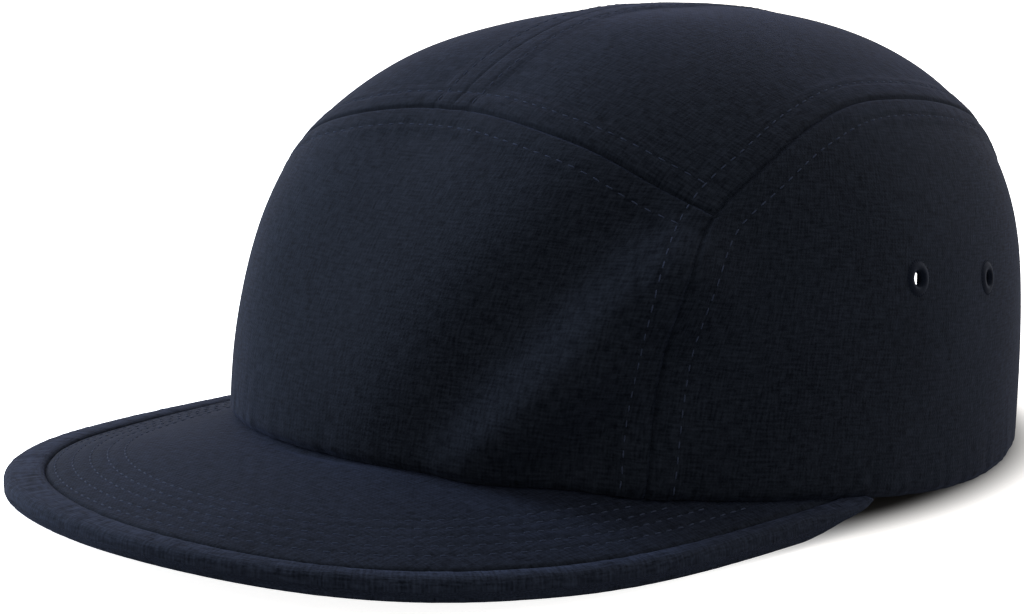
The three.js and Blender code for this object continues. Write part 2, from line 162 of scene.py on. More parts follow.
def along_line(points):
    return np.concatenate([[0], np.cumsum(np.linalg.norm(np.diff(points, axis=0), axis=1))])


def at(points, shares):
    """Points at shares of a line's length."""
    length = along_line(points)
    return np.stack([np.interp(np.asarray(shares) * length[-1], length, c) for c in points.T], -1)


def outside_crown(p, clearance):
    front = p[..., 1] < 0
    reach = np.where(front, crown_front, crown_back)
    power = np.where(front, sections["front"]["plan"], sections["back"]["plan"])
    x = np.abs(p[..., 0]) / (crown_width / 2 + clearance)
    y = np.abs(p[..., 1]) / (reach + clearance)
    return x**power + y**power > 1


edge_stations, inward_steps = 481, 66
edge_line = at(brim_outline(), np.linspace(0, 1, edge_stations))
edge_along = unit(np.gradient(edge_line, axis=0))
edge_in = np.stack([-edge_along[:, 1], edge_along[:, 0]], -1)
ways_in = np.linspace(0, binding_width, inward_steps)
clear = outside_crown(edge_line[:, None] + edge_in[:, None] * ways_in[:, None], seam_gap)
edge_room = ways_in[np.clip(np.cumprod(clear, axis=1).sum(1) - 1, 0, inward_steps - 1)]
has_board = edge_room > binding_width - 0.2
board_end = (edge_line + edge_in * binding_width)[has_board][-1]
print("brim edge, mm:", round(along_line(edge_line)[-1], 1), "board ends at", board_end.round(1))


# %% Set the rim and the crown's surface
def rim_height(x, y):
    landed = smooth(board_end[1], board_end[1] + rim_descent, y)
    return (brim_top(x, y) + seam_gap) * (1 - landed)


def plain_crown(place):
    angle = np.arctan2(place[..., 0], -place[..., 1])
    front, back = np.maximum(np.cos(angle), 0) ** 2, np.maximum(-np.cos(angle), 0) ** 2

    def mixed(column):
        side = (1 - front - back) * sections["side"][column]
        return front * sections["front"][column] + back * sections["back"][column] + side

    rise = np.maximum(place[..., 2], 0)
    spread = np.maximum(1 - rise ** mixed("shoulder"), 0) ** (1 / mixed("fullness"))
    swell = spread * (1 + mixed("belly") * np.sin(np.pi * rise))
    rim = rim_point(angle)
    foot = rim_height(rim[..., 0], rim[..., 1])
    y = rim[..., 1] * swell + peak_back * (1 - spread)
    return np.stack([rim[..., 0] * swell, y, foot + (crown_height - foot) * place[..., 2]], -1)


def crown_normal(place):
    step = 0.01
    east = np.stack([-place[..., 1], place[..., 0], 0 * place[..., 0]], -1)
    short = np.linalg.norm(east, axis=-1) < step
    east[short] = [1, 0, 0]
    east = unit(east)
    north = np.cross(place, east)

    def difference(axis):
        return plain_crown(unit(place + axis * step)) - plain_crown(unit(place - axis * step))

    return unit(np.cross(difference(east), difference(north)))


print("front of the crown half way up, mm:", plain_crown(toward(0, 0.5)).round(1))

# %% [markdown]
# ## The seams
# Three kinds of seam join the panels: one over the forehead, one from each side of the brim up and
# over the ear to the back, and one along the middle of the top. Each is drawn as a smooth line
# through a few directions. The back opening is an arch with the ends of the side seams in it.

# %% Name the seams' knots
# Each row is a turn in degrees from the front and a rise.
corner = (58, 0.595)
front_seam_rows = [(0, 0.768), (14, 0.764), (28, 0.744), (39, 0.714), (49, 0.662), corner]
corner_seam_rows = [(49, 0), (51, 0.26), (53.5, 0.45), corner]
side_seam_rows = [
    corner, (66, 0.69), (75, 0.763), (88, 0.811), (103, 0.813), (120, 0.782), (136, 0.71),
    (150, 0.575),
]
line_points = 401
opening_width, opening_height, arch_split = 76.0, 46.0, 50.0
opening_angle = math.asin((opening_width / crown_width) ** (sections["back"]["plan"] / 2))


def arch_place(degrees):
    degrees = np.asarray(degrees, float)
    rise = opening_height / crown_height * np.sin(np.radians(degrees))
    return toward(180 - math.degrees(opening_angle) * np.cos(np.radians(degrees)), rise)


print("the opening's foot is", round(math.degrees(opening_angle), 1), "degrees from the back")


# %% Draw the seams
def smooth_line(knots, steps=60):
    """A smooth line through the knots, with its points evenly spaced."""
    knots = np.array(knots, float)
    line = []
    for i in range(len(knots) - 1):
        b, c = knots[i], knots[i + 1]
        a = knots[i - 1] if i else 2 * b - c
        d = knots[i + 2] if i + 2 < len(knots) else 2 * c - b
        ab, bc, cd = (np.sqrt(np.linalg.norm(q - p)) for p, q in ((a, b), (b, c), (c, d)))
        leave = ((b - a) / ab - (c - a) / (ab + bc) + (c - b) / bc) * bc
        arrive = ((c - b) / bc - (d - b) / (bc + cd) + (d - c) / cd) * bc
        t = np.linspace(0, 1, steps, endpoint=i + 2 == len(knots))[:, None]
        cubic = (2 * b - 2 * c + leave + arrive) * t**3
        square = (3 * c - 3 * b - 2 * leave - arrive) * t**2
        line.append(cubic + square + leave * t + b)
    return at(np.concatenate(line), np.linspace(0, 1, line_points))


front_seam = smooth_line([toward(*row) for row in front_seam_rows])
whole_side_rows = corner_seam_rows[:-1] + side_seam_rows
whole_side = smooth_line([*(toward(*row) for row in whole_side_rows), arch_place(arch_split)])
corner_index = np.linalg.norm(whole_side - toward(*corner), axis=1).argmin()
corner_seam = np.concatenate([whole_side[:corner_index], [toward(*corner)]])
side_seam = np.concatenate([[toward(*corner)], whole_side[corner_index + 1 :]])


def centre_place(share):
    start = math.asin(front_seam_rows[0][1])
    end = math.pi - math.asin(opening_height / crown_height)
    angle = start + (end - start) * np.asarray(share, float)
    return np.stack([0 * angle, -np.cos(angle), np.sin(angle)], -1)


def mirrored(places, side=-1):
    return places * np.array([side, 1, 1])


seam_places = {
    "front": np.concatenate([mirrored(front_seam[:0:-1]), front_seam]),
    "side_left": np.concatenate([corner_seam[:-1], side_seam]),
    "side_right": mirrored(np.concatenate([corner_seam[:-1], side_seam])),
    "centre": centre_place(np.linspace(0, 1, line_points)),
}
seam_lines = {name: plain_crown(unit(places)) for name, places in seam_places.items()}
for name, line in seam_lines.items():
    print("seam", name, "mm:", round(along_line(line)[-1], 1))

# %% [markdown]
# ## How the cloth lies
# Cloth that is sewn and turned isn't smooth. It dives into each seam, stands a little proud over
# the pressed seam allowances, is drawn down along both rows of topstitching and puckers between the
# stitches. Away from the seams it sags in soft waves, and the unstiffened front has one drape: a
# ridge between two hollows that run down from the corner. All of that is a height above the plain
# crown, a fraction of a millimetre but for the drape, worked out from the distance to each seam or
# fold line. That is quicker and steadier than a cloth simulation and keeps the seams where they
# are.

# %% Find how far a point is from a seam
row_offset, allowance = 5.2, 6.0
points_at_once = 8000


def near_seam(points, line):
    """Distance from each point to a line, how far along it that is, and how far past its ends."""
    length = along_line(line)
    tangent = unit(np.gradient(line, axis=0))
    flat = points.reshape(-1, 3)
    distance, station, past = (np.empty(len(flat)) for _ in range(3))
    for start in range(0, len(flat), points_at_once):
        part = slice(start, start + points_at_once)
        p = flat[part]
        squares = (p * p).sum(1)[:, None] + (line * line).sum(1) - 2 * p @ line.T
        i = squares.argmin(1)
        gap = p - line[i]
        along = (gap * tangent[i]).sum(1)
        inner = (i > 0) & (i < len(line) - 1)
        distance[part] = np.linalg.norm(gap - along[:, None] * tangent[i], axis=1)
        station[part] = np.clip(length[i] + along, 0, length[-1])
        past[part] = np.where(inner, 0, np.maximum(np.where(i == 0, -along, along), 0))
    shape = points.shape[:-1]
    return distance.reshape(shape), station.reshape(shape), past.reshape(shape)


from_seam = near_seam(plain_crown(toward(0, 0.5))[None], seam_lines["front"])[0]
print("half way up, the front seam is, mm:", from_seam.round(1))

# %% Shape the drape and the waves
# Each fold runs along a line of directions. Its reach and height are given at the line's two ends.
drapes = [
    {"along": [(52, 0.485), (48, 0.41), (42, 0.285), (35.5, 0.18), (30, 0.085), (26, 0.01)],
     "reach": (9.5, 7.0), "height": (6.6, 3.6)},
    {"along": [(48, 0.545), (42, 0.48), (35, 0.395), (29, 0.29), (23.5, 0.15), (20.5, 0.02)],
     "reach": (10.0, 8.5), "height": (-4.4, -1.2)},
    {"along": [(50.5, 0.31), (47.5, 0.2), (42.5, 0.115), (38.5, 0.02)],
     "reach": (7.5, 6.5), "height": (-4.0, -3.0)},
]
chance = np.random.default_rng(5)
wave_count, wave_share = 14, 0.06 / 50
wave_pitch = chance.uniform(24, 75, wave_count)
wave_way = unit(chance.normal(size=(wave_count, 3))) * (2 * np.pi / wave_pitch)[:, None]
wave_start = chance.uniform(0, 2 * np.pi, wave_count)


def drape_height(place):
    height = np.zeros(place.shape[:-1])
    for drape in drapes:
        line = smooth_line([toward(*row) for row in drape["along"]]) * crown_width / 2
        across, station, past = near_seam(place * crown_width / 2, line)
        share = station / along_line(line)[-1]
        reach, crest = (a + (b - a) * share for a, b in (drape["reach"], drape["height"]))
        height += crest * np.exp(-((across**2 + past**2) / reach**2))
    held_at_rim = 0.45 + 0.55 * smooth(0, 0.12, place[..., 2])
    return height * held_at_rim


def wave_height(surface):
    phase = surface @ wave_way.T + wave_start
    return (np.sin(phase) * wave_pitch).sum(-1) * wave_share


print("folds in the drape:", len(drapes), "waves:", wave_count)

# %% Give the cloth its height over the plain crown
groove_depths = {"front": 0.8, "side_left": 0.75, "side_right": 0.75, "centre": 0.12}
row_depths = {"front": 0.3, "side_left": 0.3, "side_right": 0.3, "centre": 0.16}
groove_width, row_width, pucker_reach, seam_reach = 0.5, 0.75, 10, 2.5
pressed_from, pressed_to, rim_radius, rim_reach = 5.6, 7.6, 90, 7
pressed_height, pucker_height, rim_pucker, rim_turning = 0.4, 0.13, 0.22, 1.0


def ripple(station, seed):
    """Uneven puckers along a seam, from -1 to 1."""
    total = np.zeros(np.shape(station))
    for pitch, phase in ((4.7, 0.3), (7.3, 1.7), (11.9, 2.9), (19.3, 4.1)):
        total += np.sin(2 * np.pi * station / pitch + phase + seed * 1.3)
    return total / 4


def hump(distance):
    return np.exp(-(distance**2))


def relief(surface):
    groove = np.zeros(surface.shape[:-1])
    pressed, row, pucker = groove.copy(), groove.copy(), groove.copy()
    for seed, (name, line) in enumerate(seam_lines.items()):
        distance, station, past = near_seam(surface, line)
        here = 1 - smooth(0.2, 1.2, past)
        groove = np.maximum(groove, groove_depths[name] * hump(distance / groove_width) * here)
        pressed = np.maximum(pressed, (1 - smooth(pressed_from, pressed_to, distance)) * here)
        row = np.maximum(row, row_depths[name] * hump((distance - row_offset) / row_width) * here)
        near = hump(distance / pucker_reach) * here
        pucker = pucker + ripple(station, seed) * near * (1 - hump(distance / seam_reach))
    waves = wave_height(surface) * (1 - pressed)
    height = pressed_height * pressed - groove - row + pucker_height * pucker + waves
    above_rim = surface[..., 2] - rim_height(surface[..., 0], surface[..., 1])
    rim_run = rim_radius * np.arctan2(surface[..., 0], -surface[..., 1])
    height = height + rim_pucker * ripple(rim_run, 9) * np.exp(-above_rim / rim_reach)
    return height - rim_turning * hump(above_rim)


def crown_point(place, depth=0.0):
    """The cloth's outer face at each direction, or as deep under it as depth says."""
    place = unit(place)
    surface, normal = plain_crown(place), crown_normal(place)
    height = drape_height(place) + (relief(surface) if depth == 0 else -depth)
    return surface + normal * height[..., None], normal


lifted = crown_point(toward(0, 0.5)[None])[0][0] - plain_crown(toward(0, 0.5))
print("half way up, the cloth lies off the plain crown by, mm:", lifted.round(2))

# %% [markdown]
# ## Making a mesh
# A panel is a grid of directions spread between its four edges, closer together near the seams,
# where the cloth bends most. The same grid a cloth's thickness further in gives the inner face, and
# a strip round the edges closes the wall. The flat place of each point is kept as a UV map in
# metres, because the weave follows the cloth.

# %% Finish a piece
root = "root"


def finish_piece(piece, material, nodes=(), smooth_angle=50):
    piece.data.materials.clear()
    piece.data.materials.append(material)
    bpy.ops.object.select_all(action="DESELECT")
    piece.select_set(True)
    bpy.context.view_layer.objects.active = piece
    bpy.ops.object.shade_smooth_by_angle(angle=math.radians(smooth_angle))
    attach(piece, root)
    if nodes:
        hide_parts(*nodes)
    print(piece.name, "has", len(piece.data.polygons), "faces")
    return piece


def mesh_piece(name, points, faces, flat=None):
    mesh = bpy.data.meshes.new(name)
    mesh.from_pydata(((points + shift) * mm).tolist(), [], [list(map(int, face)) for face in faces])
    if flat is not None:
        corners = np.empty(len(mesh.loops), np.int32)
        mesh.loops.foreach_get("vertex_index", corners)
        layer = mesh.uv_layers.new(name="flat cloth")
        layer.data.foreach_set("uv", (flat[corners] * mm).astype(np.float32).ravel())
    mesh.validate()
    piece = bpy.data.objects.new(name, mesh)
    bpy.context.collection.objects.link(piece)
    return piece


# %% Make a closed wall from two grids
def wall(name, outer, inner, flat, open_at=None):
    """A closed wall between two grids. open_at marks the cells that are left out, for a hole."""
    rows, columns = outer.shape[:2]
    index = np.arange(rows * columns).reshape(rows, columns)
    a, b, c, d = index[:-1, :-1], index[:-1, 1:], index[1:, 1:], index[1:, :-1]
    kept = np.ones(a.shape, bool) if open_at is None else ~open_at
    quads = np.stack([a, b, c, d], -1)[kept]
    under = quads[:, ::-1] + rows * columns
    padded = np.pad(kept, 1)
    sides = []
    borders = (((0, 1), (a, b)), ((2, 1), (c, d)), ((1, 0), (d, a)), ((1, 2), (b, c)))
    for (down, right), (p, q) in borders:
        neighbour = padded[down : down + rows - 1, right : right + columns - 1]
        edge = kept & ~neighbour
        p, q = p[edge], q[edge]
        sides.append(np.stack([q, p, p + rows * columns, q + rows * columns], -1))
    faces = np.concatenate([quads, under, *sides])
    points = np.concatenate([outer.reshape(-1, 3), inner.reshape(-1, 3)])
    first = points[faces[0]]
    outward = np.cross(first[1] - first[0], first[2] - first[1])
    if outward @ (outer[0, 0] - inner[0, 0]) < 0:
        faces = faces[:, ::-1]
    flat = flat.reshape(-1, 2)
    return mesh_piece(name, points, faces, np.concatenate([flat, flat]))


# %% Spread a grid of directions over a panel
grid_step, hole_radius, hair = 1.1, 2.5, 0.03
sewn_steps = [0, 0.25, 0.5, 0.8, 1.2, 1.8, 2.6, 3.4, 4.1, 4.7, 5.2, 5.7, 6.3, 7.1, 8.0]
free_steps = [0, 0.3, 0.7, 1.2, 2.0]


def steps_between(length, start_sewn, end_sewn):
    """Shares of a length, close together near an end that is sewn."""
    start, end = (sewn_steps if is_sewn else free_steps for is_sewn in (start_sewn, end_sewn))
    count = int((length - start[-1] - end[-1]) / grid_step)
    middle = np.linspace(start[-1], length - end[-1], count)
    return np.concatenate([start[:-1], middle, [length - e for e in end[-2::-1]]]) / length


def spread(bottom, top, start, end, u, v):
    """Directions between four edges, each a function of a share."""
    low, high, left, right = bottom(u), top(u), start(v), end(v)
    u, v = u[None, :, None], v[:, None, None]
    grid = (1 - v) * low[None] + v * high[None] + (1 - u) * left[:, None] + u * right[:, None]
    at_foot = (1 - u) * (1 - v) * low[0] + u * (1 - v) * low[-1]
    return unit(grid - (at_foot + (1 - u) * v * high[0] + u * v * high[-1]))


def flat_place(surface):
    """Where each point lies on the flat cut: lengths along the grid's middle column and rows."""
    rows, columns = surface.shape[:2]
    across = np.linalg.norm(np.diff(surface, axis=1), axis=-1)
    across = np.concatenate([np.zeros((rows, 1)), np.cumsum(across, axis=1)], axis=1)
    across -= across[:, columns // 2][:, None]
    up = np.linalg.norm(np.diff(surface, axis=0), axis=-1)
    up = np.concatenate([np.zeros((1, columns)), np.cumsum(up, axis=0)], axis=0)
    return np.stack([across, up], -1)


# %% Make a panel and work out its flat cut
def panel(name, edges, u, v, sewn, holes=()):
    """A panel's wall. At its sewn edges the outer face stops a hair short of its neighbour, and the
    inner face goes a hair past the seam, so that no light comes through."""
    places = spread(*edges, u, v)
    outer, normal = crown_point(places)
    inner, _ = crown_point(places, cloth_thickness)
    if "bottom" not in sewn:
        inner[0, :, 2] = rim_height(inner[0, :, 0], inner[0, :, 1])
        outer[0, :, 2] = rim_height(outer[0, :, 0], outer[0, :, 1])
    for grid, draw_back in ((outer, hair), (inner, -hair)):
        for edge, mine, next_in in (
            ("bottom", grid[0], grid[1]), ("top", grid[-1], grid[-2]),
            ("start", grid[:, 0], grid[:, 1]), ("end", grid[:, -1], grid[:, -2]),
        ):
            if edge in sewn:
                mine += unit(next_in - mine) * draw_back
    cells = (outer[:-1, :-1] + outer[1:, 1:]) / 2
    open_at = np.zeros(cells.shape[:2], bool)
    for centre in holes:
        open_at |= np.linalg.norm(cells - centre, axis=-1) < hole_radius
    plain = plain_crown(places)
    flat = flat_place(plain)
    a, b, c, d = plain[:-1, :-1], plain[:-1, 1:], plain[1:, 1:], plain[1:, :-1]
    halves = [np.cross(b - a, c - a), np.cross(c - a, d - a)]
    sewn_length = {
        "bottom": flat[0, -1, 0] - flat[0, 0, 0], "top": flat[-1, -1, 0] - flat[-1, 0, 0],
        "start": flat[-1, 0, 1], "end": flat[-1, -1, 1],
    }
    area = sum(np.linalg.norm(half, axis=-1).sum() / 2 for half in halves)
    area += allowance * sum(sewn_length[edge] for edge in sewn)
    size = [flat[..., 0].max() - flat[..., 0].min(), flat[..., 1].max()]
    cut = [size[0] + 2 * allowance, size[1] + allowance * (1 + ("bottom" in sewn))]
    print(name, "is cut, mm:", np.round(cut, 1), "area, square mm:", round(area))
    piece = wall(name, outer, inner, flat, open_at)
    return piece, {"flat": [side * mm for side in cut], "area": area * mm * mm}


# %% [markdown]
# ## Materials
# The shell is a plain woven cotton, piece dyed navy, nearly black: no shine, a little pale fuzz at
# grazing angles, and threads just fine enough to be seen. The weave is two sets of threads crossing
# over and under, so its height is the product of two sines, one for each set, with uneven yarns in
# the colour.

# %% Add nodes and turn colours to linear
def linear(hex_colour):
    values = [int(hex_colour[i : i + 2], 16) / 255 for i in (1, 3, 5)]
    return (*[v / 12.92 if v <= 0.04045 else ((v + 0.055) / 1.055) ** 2.4 for v in values], 1)


def add(tree, kind, inputs=None, **settings):
    """Adds a node. An input is a value, a socket, or a node whose first output is meant."""
    node = tree.nodes.new("ShaderNode" + kind)
    for name, value in settings.items():
        setattr(node, name, value)
    for name, value in (inputs or {}).items():
        if isinstance(value, bpy.types.Node):
            value = value.outputs[0]
        if isinstance(value, bpy.types.NodeSocket):
            tree.links.new(value, node.inputs[name])
        else:
            node.inputs[name].default_value = value
    return node


def new_material(name, roughness, shader):
    material = bpy.data.materials.new(name)
    material.use_nodes = True
    tree = material.node_tree
    tree.nodes.clear()
    surface = add(tree, "BsdfPrincipled", {"Roughness": roughness, **shader})
    add(tree, "OutputMaterial", {"Surface": surface})
    return material, tree, surface


def link(tree, node, surface, name, output=0):
    tree.links.new(node.outputs[output], surface.inputs[name])


print("pale yarn in linear values:", [round(v, 4) for v in linear("#15191f")[:3]])


# %% Weave the cotton
# Threads of such cotton are about 0.25 mm apart, too fine to show here, so they are drawn coarser.
thread_pitch, tape_pitch = 0.45, 0.6
pale_blue = linear("#7587c4")


def woven(name, deep, pale, pitch, roughness, sheen, bump):
    """A plain weave on a piece's flat map, from its two yarn colours and its thread pitch in mm."""
    fuzzy = {"Sheen Roughness": 0.4, "Sheen Tint": pale_blue}
    dull = {"Specular IOR Level": 0.1, "Specular Tint": pale_blue}
    material, tree, surface = new_material(name, roughness, {**fuzzy, **dull})
    flat = add(tree, "UVMap", uv_map="flat cloth")
    in_threads = {0: flat, 1: (1 / (pitch * mm),) * 3}
    threads = add(tree, "VectorMath", in_threads, operation="MULTIPLY")
    split = add(tree, "SeparateXYZ", {0: threads})
    sines, yarns = [], []
    for axis in (0, 1):
        turn = add(tree, "Math", {0: split.outputs[axis], 1: math.pi}, operation="MULTIPLY")
        sines.append(add(tree, "Math", {0: turn}, operation="SINE"))
    crossing = add(tree, "Math", {0: sines[0], 1: sines[1]}, operation="MULTIPLY")
    for stretch in ((0.9, 0.15, 1), (0.15, 0.9, 1)):
        along = add(tree, "VectorMath", {0: threads, 1: stretch}, operation="MULTIPLY")
        yarns.append(add(tree, "TexNoise", {"Vector": along, "Scale": 1.0, "Detail": 2.0}))
    uneven = add(tree, "Math", {0: yarns[0], 1: yarns[1]}, operation="ADD")
    clouds = add(tree, "TexNoise", {"Vector": flat, "Scale": 45.0, "Detail": 3.0})
    mottle = add(tree, "Math", {0: clouds, 1: 0.3, 2: uneven}, operation="MULTIPLY_ADD")
    # The crossing also makes the colour a little paler where the threads ride high and darker where
    # they dip: painted shade in the weave's hollows, on top of the yarns' own uneven tone.
    mottle_and_weave_shade = add(tree, "Math", {0: crossing, 1: 0.04, 2: mottle}, operation="MULTIPLY_ADD")
    yarn_mix_and_weave_shade = add(tree, "MapRange", {"Value": mottle_and_weave_shade, "From Min": 0.85, "From Max": 1.45})
    yarn_colours = {"Factor": yarn_mix_and_weave_shade, "A": linear(deep), "B": linear(pale)}
    link(tree, add(tree, "Mix", yarn_colours, data_type="RGBA"), surface, "Base Color", "Result")
    fuzz_range = {"Value": yarn_mix_and_weave_shade, "To Min": 0.5 * sheen, "To Max": 1.5 * sheen}
    link(tree, add(tree, "MapRange", fuzz_range), surface, "Sheen Weight")
    lift = add(tree, "Math", {0: crossing, 1: 0.12, 2: uneven}, operation="MULTIPLY_ADD")
    lifted = {"Height": lift, "Strength": bump, "Distance": 0.1 * mm}
    link(tree, add(tree, "Bump", lifted), surface, "Normal")
    return material


shell_cotton = woven("navy cotton, plain woven", "#06080b", "#15191f", thread_pitch, 0.9, 0.07, 0.7)
brim_cotton = woven("navy cotton over board", "#06080b", "#14181f", thread_pitch, 0.9, 0.06, 1.0)
bias_cotton = "navy cotton, cut on the bias"
binding_cotton = woven(bias_cotton, "#090c11", "#1d222c", thread_pitch, 0.9, 0.065, 1.0)
tape_cotton = woven("navy cotton tape, woven", "#06080b", "#13161c", tape_pitch, 0.85, 0.07, 0.7)
print("cotton threads are drawn", thread_pitch, "mm apart, the tape's", tape_pitch)

# %% Spin the thread and mould the plastic
def spun(name, deep, pale, sheen):
    """Thread that is uneven along its length, between two colours."""
    fuzzy = {"Sheen Weight": sheen, "Sheen Tint": linear("#8092c4")}
    dull = {"Specular IOR Level": 0.06, "Specular Tint": pale_blue}
    material, tree, surface = new_material(name, 0.7, {**fuzzy, **dull})
    place = add(tree, "TexCoord").outputs["Object"]
    noise = add(tree, "TexNoise", {"Vector": place, "Scale": 2500.0, "Detail": 2.0})
    fibres = {"Factor": noise, "A": linear(deep), "B": linear(pale)}
    link(tree, add(tree, "Mix", fibres, data_type="RGBA"), surface, "Base Color", "Result")
    lifted = {"Height": noise, "Strength": 0.4, "Distance": 0.1 * mm}
    link(tree, add(tree, "Bump", lifted), surface, "Normal")
    return material


# The sewing thread is a lighter navy than the cloth, so that its stitches stand out as if they
# caught the light: partly the thread's own colour, partly a painted highlight.
thread = spun("navy sewing thread, spun polyester", "#171b25", "#282f3e", 0.06)
twist = spun("navy buttonhole twist, spun polyester", "#06080c", "#10141c", 0.04)

moulded = {"Specular IOR Level": 0.3, "Base Color": linear("#0c0d10")}
acetal, tree, surface = new_material("black acetal, injection moulded", 0.4, moulded)
place = add(tree, "TexCoord").outputs["Object"]
grain = add(tree, "TexNoise", {"Vector": place, "Scale": 3000.0, "Detail": 3.0})
satin = {"Value": grain, "To Min": 0.3, "To Max": 0.5}
link(tree, add(tree, "MapRange", satin), surface, "Roughness")
lifted = {"Height": grain, "Strength": 0.25, "Distance": 0.05 * mm}
link(tree, add(tree, "Bump", lifted), surface, "Normal")
print("materials:", [m.name for m in (thread, twist, acetal)])

# %% [markdown]
# ## The panels
# Each panel is cut flat and sewn at its edges, and the crown's roundness comes from its curved
# seams. The front panel is held by three seams and stands on the brim.

# %% Sew the front panel
# A panel's rough width and height in millimetres say how many points its grid gets.
front_size, top_size, side_size = (190, 78), (70, 195), (185, 88)
wearer_sides = {"left": 1, "right": -1}
foot = corner_seam_rows[0][0]


def over_forehead(u):
    place = at(front_seam, np.abs(2 * u - 1))
    return np.where((u < 0.5)[:, None], mirrored(place), place)


front, front_cut = panel(
    "front_panel_cloth",
    (lambda u: toward(-foot + 2 * foot * u, 0 * u), over_forehead,
     lambda v: mirrored(at(corner_seam, v)), lambda v: at(corner_seam, v)),
    steps_between(front_size[0], True, True), steps_between(front_size[1], False, True),
    {"top", "start", "end"},
)
finish_piece(front, shell_cotton, ["front_panel"])

# %% Sew the two top panels
tops = {}
for side_name, side in wearer_sides.items():
    tops[side_name], top_cut = panel(
        f"top_panel_{side_name}_cloth",
        (lambda u: mirrored(at(front_seam, u), side),
         lambda u: mirrored(arch_place(90 + (arch_split - 90) * u), side),
         centre_place, lambda v: mirrored(at(side_seam, v), side)),
        steps_between(top_size[0], True, True), steps_between(top_size[1], True, False),
        {"bottom", "start", "end"},
    )
    finish_piece(tops[side_name], shell_cotton, [f"top_panel_{side_name}"])

# %% [markdown]
# The side panels carry the eyelets, so each has two small holes. The eyelet's stitches cover the
# hole's raw edge.

# %% Sew the two side panels
eyelet_rows = {"front": (88.2, 0.46), "back": (106, 0.435)}
eyelet_frames, back_foot = {}, 180 - math.degrees(opening_angle)
for side_name, side in wearer_sides.items():
    centres = []
    for eyelet_name, row in eyelet_rows.items():
        point, normal = crown_point(mirrored(toward(*row), side)[None])
        eyelet_frames[f"eyelet_{side_name}_{eyelet_name}"] = (point[0], normal[0])
        centres.append(point[0])
    side_panel, side_cut = panel(
        f"side_panel_{side_name}_cloth",
        (lambda u: mirrored(toward(foot + (back_foot - foot) * u, 0 * u), side),
         lambda u: mirrored(at(side_seam, u), side), lambda v: mirrored(at(corner_seam, v), side),
         lambda v: mirrored(arch_place(arch_split * v), side)),
        steps_between(side_size[0], True, False), steps_between(side_size[1], False, True),
        {"top", "start"}, centres,
    )
    finish_piece(side_panel, shell_cotton, [f"side_panel_{side_name}"])

# %% [markdown]
# ## The topstitching
# Each seam is pressed open and held by a row of lockstitch on each side. A lockstitch shows as a
# short length of thread that comes out of the cloth and goes back in, so one stitch is a small bent
# capsule of a few dozen faces, copied along each row.

# %% Shape one stitch
stitch_pitch, stitch_length, thread_width, thread_proud = 2.9, 2.3, 0.34, 0.03
stitch_dip, end_dip, stitch_taper, ring_share = 0.3, 0.42, 0.82, 0.92
stitch_jitter, look_ahead = 0.05, 0.5
rings, sides_round = 5, 6


def stitch_shape():
    """One stitch along X, bent down into the cloth at both ends."""
    t = np.linspace(-1, 1, rings)
    radius = thread_width / 2 * np.sqrt(1 - (stitch_taper * t) ** 2)
    angle = np.arange(sides_round) * 2 * np.pi / sides_round
    centre = np.stack([t * stitch_length / 2 * ring_share, 0 * t, -stitch_dip * t**4], -1)
    ring = np.stack([0 * angle, np.cos(angle), np.sin(angle)], -1)
    points = centre[:, None] + radius[:, None, None] * ring
    ends = np.array([[end * stitch_length / 2, 0, -end_dip] for end in (-1, 1)])
    faces = []
    for k in range(rings - 1):
        for i in range(sides_round):
            j = (i + 1) % sides_round
            a, b = k * sides_round, (k + 1) * sides_round
            faces.append((a + i, a + j, b + j, b + i))
    last = (rings - 1) * sides_round
    count = rings * sides_round
    for i in range(sides_round):
        j = (i + 1) % sides_round
        faces.append((count, j, i))
        faces.append((count + 1, last + i, last + j))
    return np.concatenate([points.reshape(-1, 3), ends]), faces


print("one stitch has", len(stitch_shape()[1]), "faces")


# %% Lay stitches along a row
def sew_rows(name, rows):
    """Stitches along rows. A row is its points and the normals at them, evenly spaced."""
    shape, faces = stitch_shape()
    points, all_faces = [], []
    for line, normals in rows:
        length = along_line(line)
        count = int(length[-1] // stitch_pitch)
        middle = (np.arange(count) + 0.5) * length[-1] / max(count, 1)
        jitter = chance.normal(0, stitch_jitter, (count, 2))
        for m, (slide, turn) in zip(middle, jitter):
            centre, up, ahead = (
                np.array([np.interp(m + slide + d, length, c) for c in source.T])
                for source, d in ((line, 0), (normals, 0), (line, look_ahead))
            )
            x = unit(ahead - centre)
            z = unit(up - x * (up @ x))
            y = np.cross(z, x)
            turned = x * math.cos(turn) + y * math.sin(turn)
            basis = np.stack([turned, np.cross(z, turned), z])
            base = len(points) * len(shape)
            points.append(shape @ basis + centre + z * thread_proud)
            all_faces += [tuple(base + i for i in face) for face in faces]
    piece = mesh_piece(name, np.concatenate(points), all_faces)
    print(name, "has", len(points), "stitches")
    return finish_piece(piece, thread)


# %% Find the rows beside a seam
# These lengths turn a miss in millimetres to a change of direction. The crown's skin is about 90 mm
# from its middle.
first_radius, careful_radius, corrections = 90, 100, 8


def beside(places, offset):
    """Directions at an offset to one side of a line of directions, measured on the crown."""
    line, normal = plain_crown(places), crown_normal(places)
    across = np.cross(normal, unit(np.gradient(line, axis=0)))
    target = line + across * offset
    found = unit(places + across * offset / first_radius)
    for _ in range(corrections):
        miss = target - plain_crown(found)
        facing = crown_normal(found)
        miss -= facing * (miss * facing).sum(-1, keepdims=True)
        found = unit(found + miss / careful_radius)
    return found


def lengthened(places, start, end):
    """The line carried on past its ends, by counts of its own steps."""
    before = [unit(places[0] + (places[0] - places[4]) * k / 4) for k in range(start, 0, -1)]
    after = [unit(places[-1] + (places[-1] - places[-5]) * k / 4) for k in range(1, end + 1)]
    return np.array([*before, *places, *after])


